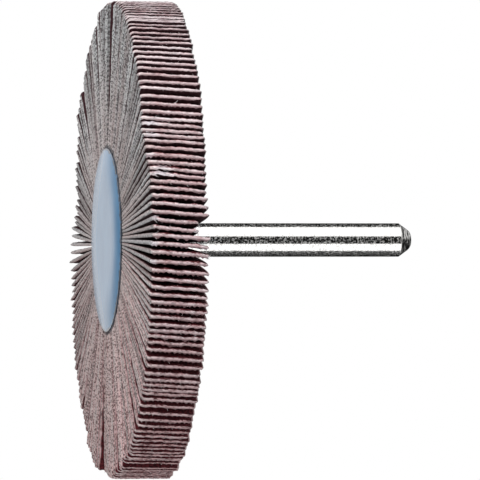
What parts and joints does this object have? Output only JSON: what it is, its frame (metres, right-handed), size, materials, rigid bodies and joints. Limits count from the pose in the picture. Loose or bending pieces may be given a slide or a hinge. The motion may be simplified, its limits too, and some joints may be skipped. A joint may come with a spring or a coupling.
{
  "type": "flap wheel",
  "caption": "Mounted flap wheel: a ring of radial abrasive cloth flaps bonded to a cast resin core on a round steel shank with a tapered end.",
  "frame": {"origin": "middle of the flat front face of the core, on which the wheel stands", "axes": "+Z along the axis of rotation, from the front face through the wheel to the free end of the shank; X and Y lie in the front face, and one flap stands along +X"},
  "size_m": [0.085, 0.085, 0.0557],
  "materials": {
    "abrasive_cloth": "matte",
    "casting_resin": "gloss",
    "ground_steel": "satin"
  },
  "bodies": {
    "root": {"flap_pack_01": "abrasive_cloth", "flap_pack_02": "abrasive_cloth", "flap_pack_03": "abrasive_cloth", "flap_pack_04": "abrasive_cloth", "flap_pack_05": "abrasive_cloth", "flap_pack_06": "abrasive_cloth", "flap_pack_07": "abrasive_cloth", "flap_pack_08": "abrasive_cloth", "flap_pack_09": "abrasive_cloth", "flap_pack_10": "abrasive_cloth", "flap_pack_11": "abrasive_cloth", "flap_pack_12": "abrasive_cloth", "flap_pack_13": "abrasive_cloth", "flap_pack_14": "abrasive_cloth", "flap_pack_15": "abrasive_cloth", "flap_pack_16": "abrasive_cloth", "flap_pack_17": "abrasive_cloth", "flap_pack_18": "abrasive_cloth", "flap_pack_19": "abrasive_cloth", "flap_pack_20": "abrasive_cloth", "flap_pack_21": "abrasive_cloth", "flap_pack_22": "abrasive_cloth", "flap_pack_23": "abrasive_cloth", "flap_pack_24": "abrasive_cloth", "flap_pack_25": "abrasive_cloth", "flap_pack_26": "abrasive_cloth", "flap_pack_27": "abrasive_cloth", "flap_pack_28": "abrasive_cloth", "flap_pack_29": "abrasive_cloth", "flap_pack_30": "abrasive_cloth", "flap_pack_31": "abrasive_cloth", "flap_pack_32": "abrasive_cloth", "flap_pack_33": "abrasive_cloth", "flap_pack_34": "abrasive_cloth", "flap_pack_35": "abrasive_cloth", "flap_pack_36": "abrasive_cloth", "flap_pack_37": "abrasive_cloth", "flap_pack_38": "abrasive_cloth", "flap_pack_39": "abrasive_cloth", "flap_pack_40": "abrasive_cloth", "flap_pack_41": "abrasive_cloth", "flap_pack_42": "abrasive_cloth", "flap_pack_43": "abrasive_cloth", "flap_pack_44": "abrasive_cloth", "flap_pack_45": "abrasive_cloth", "flap_pack_46": "abrasive_cloth", "flap_pack_47": "abrasive_cloth", "flap_pack_48": "abrasive_cloth", "resin_core": "casting_resin", "spindle": "ground_steel"}
  },
  "joints": []
}
